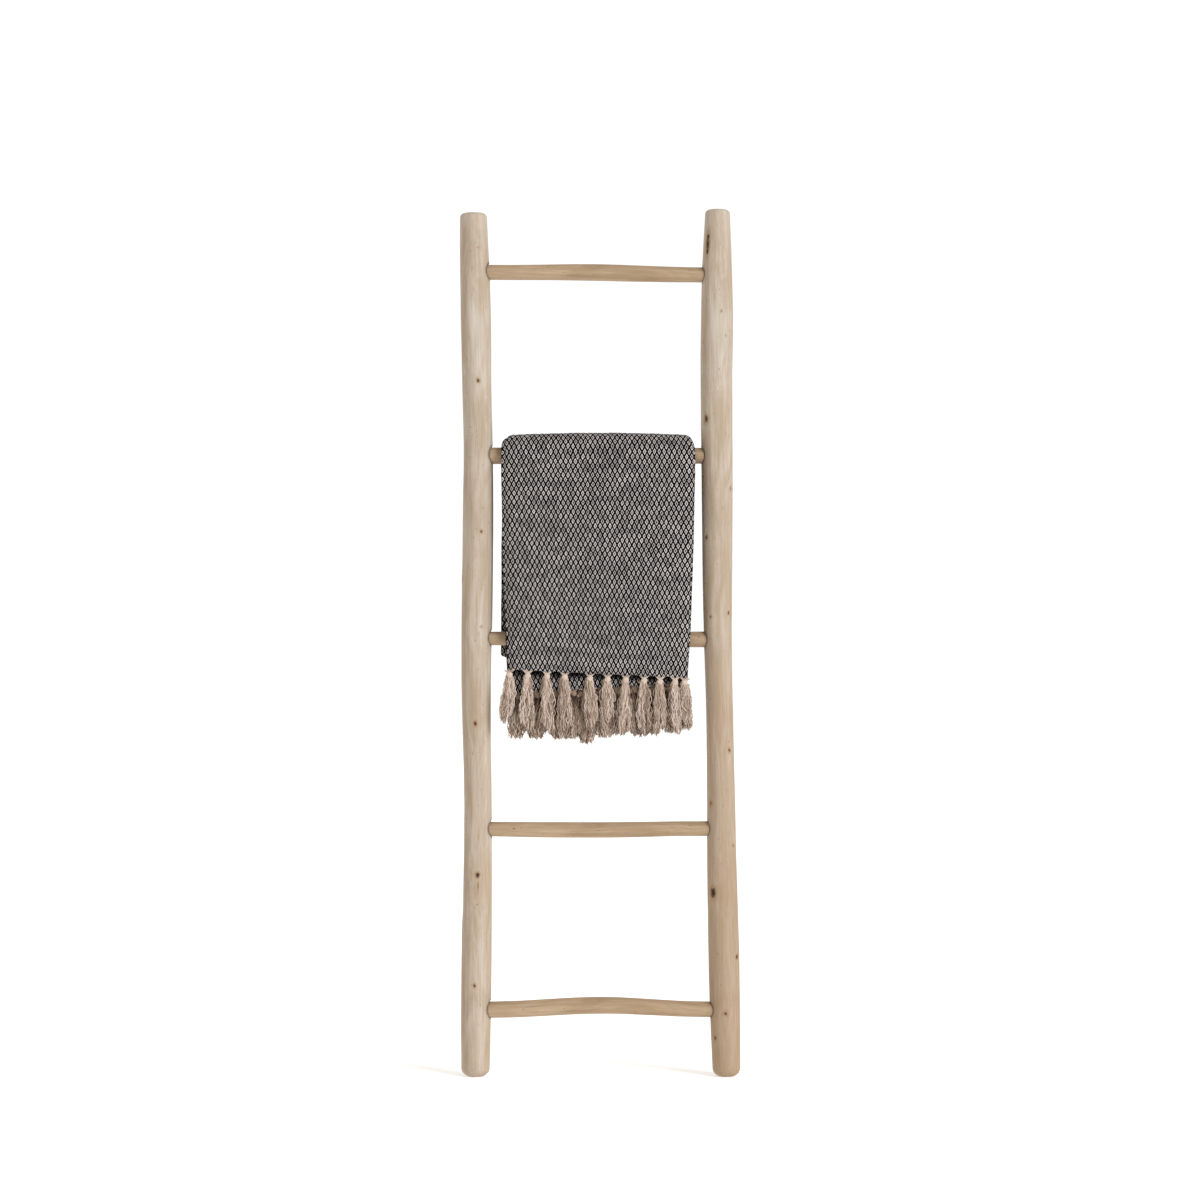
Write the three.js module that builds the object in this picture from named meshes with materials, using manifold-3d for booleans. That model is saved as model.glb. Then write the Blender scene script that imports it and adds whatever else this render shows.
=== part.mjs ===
// A tasselled throw, folded in four and doubled, hanging over one rung of a five-rung branch-wood ladder.
// Millimetres, +Z up. The front faces -Y, +X is to the right, and the feet stand on Z = 0.
import * as THREE from 'three';
import { mergeVertices } from 'three/addons/utils/BufferGeometryUtils.js';
import Module from 'manifold-3d';

const wasm = await Module();
wasm.setup();

// ---------------------------------------------------------------- driving dimensions

// Ladder: two peeled branches joined by round rungs.
const LADDER_HEIGHT = 1500;       // floor to the top of the taller, right pole
const LEFT_POLE_SHORTER = 6;      // how far the left pole stops below the right one
const POLE_SPACING = 422.5;       // between the mean centre lines of the two poles
const POLE_DIAMETER = 51;         // mean diameter of a pole
const FOOT_FLAT_RADIUS = 9;       // flat left in the middle of a rounded foot
const FOOT_ROUNDING = 14;         // height over which a foot is rounded
const TOP_INSET = 10;             // how far the flat on a pole's top stays inside its side
const TOP_ROUNDING = 8;           // height over which a pole's top is rounded
const FIRST_RUNG_HEIGHT = 117;    // floor to the axis of the lowest rung
const LAST_RUNG_BELOW_TOP = 110;  // axis of the highest rung to the top of the ladder

// How each branch wanders: share of its height, sideways drift, and what it adds to the mean diameter.
const LEFT_POLE_STATIONS = [
  [0.0, -1.1, -2.5], [0.083, -0.5, 0.6], [0.129, -0.1, 1.3], [0.25, 2.4, -2.3], [0.337, 2.2, -3.4],
  [0.45, -0.5, -1.5], [0.525, 0.9, 1.3], [0.64, 2.7, 2.9], [0.73, 3.0, -0.4], [0.81, 0.6, -0.1],
  [0.885, -1.2, 2.0], [0.94, -2.7, 0.3], [1.0, -5.2, -4.6],
];
const RIGHT_POLE_STATIONS = [
  [0.0, 11.2, -3.0], [0.083, 8.0, 1.3], [0.129, 6.2, 2.7], [0.255, 2.1, 0.3], [0.337, 0.9, -2.2],
  [0.45, -2.5, -4.1], [0.522, -4.4, -0.9], [0.64, -5.2, 1.3], [0.73, -6.2, 2.7], [0.81, -6.8, 3.7],
  [0.882, -5.6, 3.9], [0.937, -5.9, 0.6], [1.0, -5.0, -8.2],
];

// Rungs from the lowest up: rise above even spacing, climb to the right, arch in the middle, and what is
// added to the mean diameter at the left end, in the middle and at the right end.
const RUNG_DIAMETER = 27;         // mean diameter of a rung
const RUNGS = [
  { rise: -2, climb: 0.5, arch: 7, extra: [1.4, 1.9, 0.2] },
  { rise: -7.5, climb: 0.9, arch: -2, extra: [-1.2, 0.4, -1.5] },
  { rise: 3, climb: -1.9, arch: 0, extra: [-3.0, -0.6, 0.6] },
  { rise: 2, climb: 0, arch: 0, extra: [1.9, 1.2, 0.5] },
  { rise: -1, climb: -4.2, arch: 2, extra: [-1.2, 1.2, -1.2] },
];
const THROW_RUNG = 3;             // index of the rung that carries the throw

// Joints between rungs and poles: a round tenon in a blind mortise, locked by a peg from behind.
const TENON_SHOULDER = 3.5;       // how much thinner the tenon is than a mean rung, on each side
const TENON_DEPTH = 34;           // from a pole's inner side to the end of the tenon
const TENON_CHAMFER = 1.2;
const TENON_CLEARANCE = 0.3;      // all round the tenon
const MORTISE_END_GAP = 1;        // between the tenon's end and the bottom of the mortise
const SEAT_DEPTH = 9;             // shallow seat that takes the rung's full thickness
const SEAT_CLEARANCE = 0.6;       // all round the rung in its seat
const SHOULDER_LENGTH = 5;        // length over which the rung's end is rounded down to its tenon
const PEG_DIAMETER = 6;
const PEG_CLEARANCE = 0.3;        // all round the peg
const PEG_FROM_TENON_END = 12;    // peg axis to the end of the tenon
const PEG_BEYOND_TENON = 4;       // how far the peg's tip passes the tenon
const PEG_HEAD_RECESS = 1;        // how far the peg's head stays inside the pole's back

// Throw: folded in four across its width, then once across its length, and hung over the rung.
const SIDE_GAP_LEFT = 15.7;       // folded edge to the left pole, at the rung
const SIDE_GAP_RIGHT = 12.8;      // folded edge to the right pole, at the rung
const CLOTH_LAYERS = 8;
const LAYER_PITCH = 3.1;          // thickness of one layer in the stack
const RUNG_CLEARANCE = 1.2;       // between the rung and the innermost layer
const FRONT_DROP = 379;           // rung axis to the middle of the outer hem
const INNER_HEM_BELOW = 24;       // how far the inner hem hangs below the outer one, in the middle
const BACK_DROP = 353;            // rung axis to the fold at the bottom of the back
const OUTER_HEM_CLIMB = -13.9;    // rise of the outer hem from its left end to its right end
const INNER_HEM_CLIMB = 17.4;     // rise of the inner hem from its left end to its right end
const HEM_INSET_LEFT = 8;         // how much the front narrows towards its hem, on the left
const HEM_INSET_RIGHT = 13;       // how much the front narrows towards its hem, on the right
const BACK_FLARE_LEFT = 2;        // how much the back widens towards its fold, on the left
const EDGE_ROUNDING = 6;          // rounding of the folded side edges, along the width
const EDGE_INSET = 4;             // rounding of the folded side edges, across the thickness

// Tassels: a yarn knot and skirt each, in one row under each hem. Each entry gives the distance from the
// knot before it and the length from hem to tip.
const KNOT_DIAMETER = 10.5;
const KNOT_HEIGHT = 11;
const NECK_DIAMETER = 8;
const SKIRT_WIDTH = 19;
const HEM_GAP = 0.6;              // between a hem and the knots under it
const TASSEL_GAP = 0.8;           // least gap between neighbouring skirts
const ROW_GAP = 0.5;              // between the front row and the back row
const FIRST_KNOT_INSET = 6;       // outer hem's left end to its first knot
const LAST_KNOT_INSET = 4;        // outer hem's right end to its last knot
const FRONT_TASSELS = [
  [0, 90], [32, 101], [34, 104], [31, 100], [44, 96], [31, 94],
  [32, 101], [32, 99], [28, 100], [26, 98], [17, 88],
];
const BACK_TASSELS = [
  [15, 80], [34, 82], [32, 84], [31, 86], [22, 96], [26, 86],
  [29, 84], [32, 88], [31, 86], [28, 84], [20, 80],
];

const POLE_SIDES = 20;
const RUNG_SIDES = 16;            // rungs, tenons, mortises and their seats
const PEG_SIDES = 10;
const TASSEL_SIDES = 8;
const POLE_STEP = 95;             // height between the rings that describe a pole
const RUNG_STEPS = 7;             // lengths that describe a rung's body

const WOOD_LIGHT = { color: 0xc4b2a0, roughness: 0.75, metalness: 0 };
const WOOD_RUNG = { color: 0xbfa384, roughness: 0.72, metalness: 0 };
const WOOD_PEG = { color: 0x9c7b58, roughness: 0.7, metalness: 0 };
const CLOTH = { color: 0x6e6867, roughness: 0.95, metalness: 0 };
const YARN = { color: 0xb9a492, roughness: 0.95, metalness: 0 };

// ---------------------------------------------------------------- helpers

/** Moves every vertex of a geometry: move(point) changes the point in place. */
function reshape(geometry, move) {
  const positions = geometry.attributes.position;
  const point = new THREE.Vector3();
  for (let i = 0; i < positions.count; i += 1) {
    move(point.fromBufferAttribute(positions, i));
    positions.setXYZ(i, point.x, point.y, point.z);
  }
  return geometry;
}

/** A closed geometry with shared vertices and without the empty triangles at a lathe's poles. */
function welded(geometry) {
  geometry.deleteAttribute('normal');
  geometry.deleteAttribute('uv');
  const merged = mergeVertices(geometry, 1e-3);
  const index = merged.index.array;
  const kept = [];
  for (let i = 0; i < index.length; i += 3) {
    const [a, b, c] = index.slice(i, i + 3);
    if (a !== b && b !== c && c !== a) kept.push(a, b, c);
  }
  return merged.setIndex(kept);
}

/** A geometry as a solid that can be cut. */
function solidOf(geometry) {
  const shape = welded(geometry);
  return new wasm.Manifold(new wasm.Mesh({
    numProp: 3,
    vertProperties: new Float32Array(shape.attributes.position.array),
    triVerts: new Uint32Array(shape.index.array),
  }));
}

/** A geometry with the tools' shapes cut out of it. */
function cut(geometry, tools) {
  const solid = tools.reduce((body, tool) => body.subtract(solidOf(tool)), solidOf(geometry));
  const mesh = solid.getMesh();
  const result = new THREE.BufferGeometry();
  result.setAttribute('position', new THREE.BufferAttribute(new Float32Array(mesh.vertProperties), 3));
  result.setIndex(new THREE.BufferAttribute(new Uint32Array(mesh.triVerts), 1));
  result.computeVertexNormals();
  return result;
}

/** A solid of revolution about +Z from [radius, height] pairs that start and end on the axis. */
function turned(pairs, sides) {
  const profile = pairs.map(([radius, height]) => new THREE.Vector2(radius, height));
  return new THREE.LatheGeometry(profile, sides).rotateX(Math.PI / 2);
}

/** A plain round bar between two heights on +Z. */
function bar(radius, from, to, sides) {
  return turned([[0, from], [radius, from], [radius, to], [0, to]], sides);
}

/** Turns a shape made along +Z to lie along +X. */
function alongX(geometry) {
  return geometry.rotateY(Math.PI / 2);
}

/** Turns a shape made along +Z to lie along +Y. */
function alongY(geometry) {
  return geometry.rotateX(-Math.PI / 2);
}

function part(name, geometry, finish) {
  const mesh = new THREE.Mesh(geometry, new THREE.MeshStandardMaterial(finish));
  mesh.name = name;
  return mesh;
}

// ---------------------------------------------------------------- poles

/** A branch: centre(z) and radius(z) follow its stations, and its two ends are rounded. */
function branch(middle, top, stations) {
  const heights = stations.map(([share]) => share * top);
  const values = stations.flatMap(([, drift, extra]) => [middle + drift, (POLE_DIAMETER + extra) / 2]);
  const run = new THREE.CubicInterpolant(heights, values, 2);
  return { top, centre: (z) => run.evaluate(z)[0], radius: (z) => run.evaluate(z)[1] };
}

/** Quarter-ellipse from a flat's radius to the full radius, as t goes from 0 to 1. */
function roundedEnd(flat, full, t) {
  return flat + (full - flat) * Math.sqrt(1 - (1 - t) ** 2);
}

/** Profile of a branch from the foot's flat to the flat on its top. */
function branchProfile(pole) {
  const pairs = [[0, 0]];
  const shares = [0, 0.12, 0.35, 0.7];
  for (const t of shares) {
    pairs.push([roundedEnd(FOOT_FLAT_RADIUS, pole.radius(FOOT_ROUNDING), t), t * FOOT_ROUNDING]);
  }
  const steps = Math.round((pole.top - FOOT_ROUNDING - TOP_ROUNDING) / POLE_STEP);
  for (let i = 0; i <= steps; i += 1) {
    const z = THREE.MathUtils.lerp(FOOT_ROUNDING, pole.top - TOP_ROUNDING, i / steps);
    pairs.push([pole.radius(z), z]);
  }
  const full = pole.radius(pole.top - TOP_ROUNDING);
  for (const t of shares.toReversed()) {
    pairs.push([roundedEnd(full - TOP_INSET, full, t), pole.top - t * TOP_ROUNDING]);
  }
  pairs.push([0, pole.top]);
  return pairs;
}

const leftPole = branch(-POLE_SPACING / 2, LADDER_HEIGHT - LEFT_POLE_SHORTER, LEFT_POLE_STATIONS);
const rightPole = branch(POLE_SPACING / 2, LADDER_HEIGHT, RIGHT_POLE_STATIONS);

// ---------------------------------------------------------------- rungs, their joints and pegs

const tenonRadius = RUNG_DIAMETER / 2 - TENON_SHOULDER;
const pegTip = -(tenonRadius + PEG_BEYOND_TENON);

/** Radii of a rung at its left end, in the middle and at its right end. */
function rungRadii(rung) {
  return rung.extra.map((extra) => (RUNG_DIAMETER + extra) / 2);
}

/** Height of a rung's axis at its left end (side -1) or right end (side +1). */
function rungLevel(index, side) {
  const pitch = (LADDER_HEIGHT - LAST_RUNG_BELOW_TOP - FIRST_RUNG_HEIGHT) / (RUNGS.length - 1);
  return FIRST_RUNG_HEIGHT + index * pitch + RUNGS[index].rise + (side * RUNGS[index].climb) / 2;
}

/** One end of a rung: where the pole's inner side is, and which way the pole lies. */
function rungEnd(index, side) {
  const pole = side < 0 ? leftPole : rightPole;
  const z = rungLevel(index, side);
  const face = pole.centre(z) - side * pole.radius(z);
  const pegX = face + side * (TENON_DEPTH - PEG_FROM_TENON_END);
  const pegBack = Math.sqrt(pole.radius(z) ** 2 - (pegX - pole.centre(z)) ** 2) - PEG_HEAD_RECESS;
  return { side, z, face, pegX, pegBack, radius: rungRadii(RUNGS[index])[side < 0 ? 0 : 2] };
}

/** A round tool along X from a depth inside the pole to well outside its inner side. */
function endTool(end, radius, depth) {
  const outside = POLE_DIAMETER / 2;
  const geometry = alongX(bar(radius, -depth, outside, RUNG_SIDES));
  if (end.side > 0) geometry.rotateZ(Math.PI);
  return geometry.translate(end.face, 0, end.z);
}

/** The peg's hole: blind in the front of the pole, open at its back. */
function pegHole(end) {
  const radius = PEG_DIAMETER / 2 + PEG_CLEARANCE;
  return alongY(bar(radius, pegTip - PEG_CLEARANCE, POLE_DIAMETER, PEG_SIDES)).translate(end.pegX, 0, end.z);
}

function poleWithMortises(pole, side) {
  const tools = RUNGS.flatMap((rung, index) => {
    const end = rungEnd(index, side);
    return [
      endTool(end, tenonRadius + TENON_CLEARANCE, TENON_DEPTH + MORTISE_END_GAP),
      endTool(end, end.radius + SEAT_CLEARANCE, SEAT_DEPTH),
      pegHole(end),
    ];
  });
  const body = reshape(turned(branchProfile(pole), POLE_SIDES), (p) => {
    p.x += pole.centre(p.z);
  });
  return cut(body, tools);
}

/** Profile of one rung end, from the tenon's end to where the full rung starts, as [radius, inset]. */
function rungEndProfile(end) {
  const shoulder = -SEAT_DEPTH + TENON_CLEARANCE;
  const rounding = [0.08, 0.3, 0.6];
  return [
    [0, -TENON_DEPTH],
    [tenonRadius - TENON_CHAMFER, -TENON_DEPTH],
    [tenonRadius, -TENON_DEPTH + TENON_CHAMFER],
    [tenonRadius, shoulder],
    ...rounding.map((t) => [roundedEnd(tenonRadius, end.radius, t), shoulder + t * SHOULDER_LENGTH]),
    [end.radius, shoulder + SHOULDER_LENGTH],
  ];
}

/** A rung: tenon, rounded shoulder and body in one turned profile, then arched and tilted. */
function rungGeometry(index) {
  const { arch } = RUNGS[index];
  const left = rungEnd(index, -1);
  const right = rungEnd(index, 1);
  const start = left.face - SEAT_DEPTH + SHOULDER_LENGTH + TENON_CLEARANCE;
  const stop = right.face + SEAT_DEPTH - SHOULDER_LENGTH - TENON_CLEARANCE;
  const body = new THREE.CubicInterpolant([0, 0.5, 1], rungRadii(RUNGS[index]), 1);
  const pairs = rungEndProfile(left).map(([radius, inset]) => [radius, left.face + inset]);
  for (let i = 1; i < RUNG_STEPS; i += 1) {
    const share = i / RUNG_STEPS;
    pairs.push([body.evaluate(share)[0], THREE.MathUtils.lerp(start, stop, share)]);
  }
  pairs.push(...rungEndProfile(right).map(([radius, inset]) => [radius, right.face - inset]).reverse());
  const holes = [left, right].map(pegHole);
  return cut(reshape(alongX(turned(pairs, RUNG_SIDES)), (p) => {
    const share = THREE.MathUtils.clamp((p.x - start) / (stop - start), 0, 1);
    const tilt = (right.z - left.z) * THREE.MathUtils.smoothstep(share, 0, 1);
    p.z += left.z + tilt + arch * Math.sin(Math.PI * share) ** 2;
  }), holes);
}

function pegGeometry(end) {
  return alongY(bar(PEG_DIAMETER / 2, pegTip, end.pegBack, PEG_SIDES)).translate(end.pegX, 0, end.z);
}

// ---------------------------------------------------------------- throw

const carrier = [rungEnd(THROW_RUNG, -1), rungEnd(THROW_RUNG, 1)];
const throwAxisZ = (carrier[0].z + carrier[1].z) / 2;
const throwLeft = carrier[0].face + SIDE_GAP_LEFT;
const throwRight = carrier[1].face - SIDE_GAP_RIGHT;
const halfStack = (CLOTH_LAYERS / 2) * LAYER_PITCH;
const rungsBetweenDrops = RUNGS.slice(THROW_RUNG - 1, THROW_RUNG + 1);
const innerRadius = Math.max(...rungsBetweenDrops.flatMap(rungRadii)) + RUNG_CLEARANCE;
const outerRadius = innerRadius + 2 * halfStack;

/** Left and right edge of the front drop at a height: it narrows towards the hem. */
function frontEdges(z) {
  const share = THREE.MathUtils.clamp((throwAxisZ - z) / FRONT_DROP, 0, 1) ** 2;
  return [throwLeft + HEM_INSET_LEFT * share, throwRight - HEM_INSET_RIGHT * share];
}

/** A hem: its height in the middle, its climb, and its two ends. */
function hem(drop, climb) {
  const z = throwAxisZ - drop;
  const [left, right] = frontEdges(z);
  return { left, right, level: (x) => z + climb * ((x - left) / (right - left) - 0.5) };
}

const outerHem = hem(FRONT_DROP, OUTER_HEM_CLIMB);
const innerHem = hem(FRONT_DROP + INNER_HEM_BELOW, INNER_HEM_CLIMB);

/** Section of the folded stack across the rung: front drop, bend over the rung, back drop. */
function throwSection() {
  const section = new THREE.Shape();
  const middle = innerRadius + halfStack;
  const corner = halfStack / 2;
  const stops = [0.25, 0.5, 0.75, 1];
  section.moveTo(-innerRadius, 0);
  for (const share of stops) section.lineTo(-innerRadius, -share * (FRONT_DROP + INNER_HEM_BELOW));
  section.lineTo(-middle, -FRONT_DROP - INNER_HEM_BELOW);
  section.lineTo(-middle, -FRONT_DROP);
  section.lineTo(-outerRadius + corner / 2, -FRONT_DROP);
  section.lineTo(-outerRadius, -FRONT_DROP + corner / 2);
  for (const share of stops.toReversed().slice(1)) section.lineTo(-outerRadius, -share * FRONT_DROP);
  section.absarc(0, 0, outerRadius, Math.PI, 0, true);
  section.lineTo(outerRadius, -BACK_DROP + halfStack);
  section.absarc(middle, -BACK_DROP + halfStack, halfStack, 0, -Math.PI, true);
  section.lineTo(innerRadius, 0);
  section.absarc(0, 0, innerRadius, 0, Math.PI, false);
  return section;
}

/** The whole folded throw: its section along the rung, narrowed at the front and skewed at the hems. */
function throwGeometry() {
  const width = throwRight - throwLeft;
  const solid = new THREE.ExtrudeGeometry(throwSection(), {
    depth: width - 2 * EDGE_ROUNDING,
    steps: 1,
    curveSegments: 10,
    bevelThickness: EDGE_ROUNDING,
    bevelSize: EDGE_INSET,
    bevelOffset: -EDGE_INSET,
    bevelSegments: 2,
  });
  solid.applyMatrix4(new THREE.Matrix4().makeBasis(
    new THREE.Vector3(0, 1, 0), new THREE.Vector3(0, 0, 1), new THREE.Vector3(1, 0, 0)));
  solid.translate(throwLeft + EDGE_ROUNDING, 0, throwAxisZ);
  const betweenHems = throwAxisZ - FRONT_DROP - INNER_HEM_BELOW / 2;
  const skewStart = throwAxisZ - 0.7 * FRONT_DROP;
  return reshape(solid, (p) => {
    const across = (p.x - throwLeft) / width;
    if (p.y > 0) {
      p.x -= BACK_FLARE_LEFT * (1 - across) * THREE.MathUtils.clamp((throwAxisZ - p.z) / BACK_DROP, 0, 1);
      return;
    }
    const [left, right] = frontEdges(p.z);
    const climb = p.z > betweenHems ? OUTER_HEM_CLIMB : INNER_HEM_CLIMB;
    p.x = THREE.MathUtils.lerp(left, right, across);
    if (p.z < skewStart) p.z += climb * (across - 0.5);
  });
}

// ---------------------------------------------------------------- tassels

/** A knot with a skirt of yarn under it, hanging from the origin along -Z, as wide and deep as given. */
function tasselGeometry(length, skirtWidth, depth) {
  const knot = KNOT_DIAMETER / 2;
  const neck = NECK_DIAMETER / 2;
  const skirt = skirtWidth / 2;
  const below = length - KNOT_HEIGHT;
  const pairs = [
    [0, -length], [0.55 * skirt, -length], [0.9 * skirt, -length + 0.06 * below],
    [skirt, -length + 0.25 * below], [0.85 * skirt, -length + 0.6 * below],
    [THREE.MathUtils.lerp(neck, skirt, 0.35), -length + 0.85 * below], [neck, -KNOT_HEIGHT],
    [0.95 * knot, -0.75 * KNOT_HEIGHT], [knot, -0.45 * KNOT_HEIGHT],
    [0.6 * knot, -0.06 * KNOT_HEIGHT], [0, 0],
  ];
  return reshape(turned(pairs, TASSEL_SIDES), (p) => {
    const radius = Math.hypot(p.x, p.y);
    if (radius > depth / 2) p.y *= depth / 2 / radius;
  });
}

/** Distances between a row's knots, which stretch with the outer hem. */
function knotGaps(tassels) {
  const room = outerHem.right - outerHem.left - FIRST_KNOT_INSET - LAST_KNOT_INSET;
  const designed = FRONT_TASSELS.reduce((sum, [gap]) => sum + gap, 0);
  return tassels.map(([gap]) => (gap * room) / designed);
}

/** One row of tassels under a hem, at a depth of its own. */
function tasselRow(name, tassels, edge, y) {
  const gaps = knotGaps(tassels);
  let x = outerHem.left + FIRST_KNOT_INSET;
  return tassels.map(([, length], index) => {
    x += gaps[index];
    const nearest = Math.min(...gaps.slice(Math.max(index, 1), index + 2));
    const width = Math.min(SKIRT_WIDTH, nearest - TASSEL_GAP);
    const mesh = part(`${name}_${index + 1}`, tasselGeometry(length, width, halfStack - ROW_GAP), YARN);
    mesh.position.set(x, y, edge.level(x) - HEM_GAP);
    return mesh;
  });
}

// ---------------------------------------------------------------- assembly

const ladder = new THREE.Group();
ladder.add(part('left_pole', poleWithMortises(leftPole, -1), WOOD_LIGHT));
ladder.add(part('right_pole', poleWithMortises(rightPole, 1), WOOD_LIGHT));
RUNGS.forEach((rung, index) => {
  ladder.add(part(`rung_${index + 1}`, rungGeometry(index), WOOD_RUNG));
  ladder.add(part(`rung_${index + 1}_peg_left`, pegGeometry(rungEnd(index, -1)), WOOD_PEG));
  ladder.add(part(`rung_${index + 1}_peg_right`, pegGeometry(rungEnd(index, 1)), WOOD_PEG));
});

const drapedThrow = new THREE.Group();
drapedThrow.add(part('throw', throwGeometry(), CLOTH));
drapedThrow.add(...tasselRow('front_tassel', FRONT_TASSELS, outerHem, -(innerRadius + 1.5 * halfStack)));
drapedThrow.add(...tasselRow('back_tassel', BACK_TASSELS, innerHem, -(innerRadius + 0.5 * halfStack)));

const model = new THREE.Group();
model.add(ladder, drapedThrow);

// The frame: the middle of the whole object's plan at the level of the feet.
const extent = new THREE.Box3().setFromObject(model);
const middle = extent.getCenter(new THREE.Vector3());
model.position.set(-middle.x, -middle.y, -extent.min.z);

export default model;
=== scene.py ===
import math

import bpy
import numpy as np
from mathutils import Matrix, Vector


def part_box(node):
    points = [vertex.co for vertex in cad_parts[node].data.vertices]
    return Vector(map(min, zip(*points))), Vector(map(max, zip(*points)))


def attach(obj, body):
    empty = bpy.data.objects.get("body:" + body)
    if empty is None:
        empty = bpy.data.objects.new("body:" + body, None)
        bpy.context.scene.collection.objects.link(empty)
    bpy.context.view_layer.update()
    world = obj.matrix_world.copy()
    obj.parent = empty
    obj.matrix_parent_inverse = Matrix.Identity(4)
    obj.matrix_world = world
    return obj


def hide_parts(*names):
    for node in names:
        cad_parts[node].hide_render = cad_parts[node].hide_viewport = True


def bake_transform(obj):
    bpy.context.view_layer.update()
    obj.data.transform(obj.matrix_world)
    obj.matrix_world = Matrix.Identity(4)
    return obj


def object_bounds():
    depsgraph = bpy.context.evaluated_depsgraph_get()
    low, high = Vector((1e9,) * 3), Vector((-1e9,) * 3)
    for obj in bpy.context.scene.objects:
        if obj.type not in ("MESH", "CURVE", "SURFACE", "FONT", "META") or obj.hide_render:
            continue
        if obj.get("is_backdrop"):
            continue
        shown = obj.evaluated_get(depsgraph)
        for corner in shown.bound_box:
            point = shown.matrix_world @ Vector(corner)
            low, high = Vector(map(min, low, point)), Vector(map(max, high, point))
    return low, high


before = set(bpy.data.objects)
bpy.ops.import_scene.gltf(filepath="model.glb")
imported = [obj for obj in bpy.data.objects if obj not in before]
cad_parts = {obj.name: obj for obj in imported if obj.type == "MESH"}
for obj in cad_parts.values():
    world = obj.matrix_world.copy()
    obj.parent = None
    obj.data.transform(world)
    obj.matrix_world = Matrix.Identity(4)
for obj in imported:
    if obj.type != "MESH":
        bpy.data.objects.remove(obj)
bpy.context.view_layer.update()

# ---------------------------------------------------------------- poles
# Two teak branches about 50 mm thick, peeled, dried and sanded by hand, so they keep their bends, flats
# and knots. Their ends are sawn square and rasped round. Each rung sits in a round seat bored into the
# inner side, and a small hole in the back takes the peg that locks its tenon.

mm = 0.001
foot_rounding, foot_flat = 14 * mm, 9 * mm
top_rounding, top_inset = 8 * mm, 10 * mm
pole_sides, rung_sides = 20, 16               # sides of the CAD limbs
pole_rows, pole_columns = 600, 144            # rings and points of the mesh of a pole
tenon_radius, tenon_depth, tenon_clearance = 10 * mm, 34 * mm, 0.3 * mm
seat_depth, seat_clearance, seat_taper, shoulder = 9 * mm, 0.6 * mm, 1.2 * mm, 5 * mm
peg_radius, peg_clearance, peg_beyond_tenon = 3 * mm, 0.3 * mm, 4 * mm
peg_from_tenon_end = 12 * mm

# Knots of each pole: height, direction (0 is the front, 90 the +X side), half width and half height in
# mm, and how dark the knot is.
left_knots = [
    (1432, 17, 3.3, 2.5, 0.35), (1396, -8, 2.4, 4.2, 0.1), (1202, 7, 3.3, 4.5, 0.8),
    (1118, 130, 4.5, 7, 0.7), (942, 15, 3, 3.6, 0.75), (778, 20, 3.6, 3.4, 0.45),
    (690, -150, 4.5, 8.4, 0.8), (611, -3, 3.6, 4.8, 0.85), (561, -17, 2.7, 2.5, 0.35),
    (417, 3, 1.6, 12, 0.4), (430, 165, 3.8, 5.6, 0.6), (350, 2, 3.6, 4.6, 1.0),
    (330, 4, 1.5, 12.6, 0.55), (252, -95, 4.5, 7, 0.8), (159, -5, 3.3, 4.2, 0.75),
    (1300, -120, 4.8, 8.4, 0.8), (860, -75, 3.8, 5.6, 0.6),
]
right_knots = [
    (1438, -42, 4.8, 19, 0.72), (1451, -41, 2.6, 4.5, 1), (1426, -43, 2.6, 6, 1),
    (1322, 13, 2.2, 3.6, 0.7), (1280, 31, 3, 3.4, 0.35), (1136, -43, 4.5, 7, 0.85),
    (1017, 58, 3.6, 4.8, 0.6), (932, -49, 3.3, 5, 0.8), (802, 45, 3, 4.2, 0.7),
    (795, -32, 3, 3.6, 0.6), (565, 39, 3.3, 4.8, 0.75), (473, -48, 3.9, 4.8, 0.7),
    (400, 51, 3.3, 4.2, 0.6), (319, -38, 5.4, 8.4, 1.0), (208, 53, 3.9, 5, 0.8),
    (111, -1, 4.8, 5.9, 0.6), (68, -48, 3.6, 4.8, 0.7), (1230, 150, 4.5, 8.4, 0.8),
    (870, 170, 3.9, 7, 0.7), (640, 120, 3.6, 5.6, 0.7), (260, -160, 4.5, 7, 0.8),
]


def cubic(x, xs, ys):
    """A smooth curve through points: between two, a cubic whose end slopes are central differences."""
    slopes = np.gradient(ys, xs)
    i = np.clip(np.searchsorted(xs, x) - 1, 0, len(xs) - 2)
    width = xs[i + 1] - xs[i]
    t = np.clip((x - xs[i]) / width, 0, 1)
    start = (1 + 2 * t) * (1 - t) ** 2 * ys[i] + t * (1 - t) ** 2 * width * slopes[i]
    return start + t ** 2 * (3 - 2 * t) * ys[i + 1] + t ** 2 * (t - 1) * width * slopes[i + 1]


def wander(points, cell, seed):
    """Smooth noise from -1 to 1: random values on a lattice of that cell, blended between its corners."""
    table = np.random.default_rng(seed).uniform(-1, 1, (17, 17, 17))
    scaled = points / np.array(cell)
    corner = np.floor(scaled).astype(int)
    t = scaled - corner
    t = t * t * (3 - 2 * t)
    total = 0
    for step in np.ndindex(2, 2, 2):
        weight = np.where(step, t, 1 - t).prod(axis=-1)
        i, j, k = np.moveaxis((corner + step) % 17, -1, 0)
        total = total + weight * table[i, j, k]
    return total


def limb_line(node, along, sides, start, stop):
    """A limb's course, from the full rings of its CAD node: places along it, its middle sideways and its
    radius. A ring's frontmost point lies one radius in front of its middle."""
    points = np.array([v.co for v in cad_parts[node].data.vertices])
    places = points[:, along].round(4)
    line = []
    for place in np.unique(places[(places > start - 0.1 * mm) & (places < stop + 0.1 * mm)]):
        ring = points[places == place]
        front = ring[ring[:, 1].argmin()]
        if len(ring) >= 6 * sides:            # six triangles meet at each corner of a full ring
            line.append((place, front[2 - along], -front[1]))
    return np.array(line).T


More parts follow.
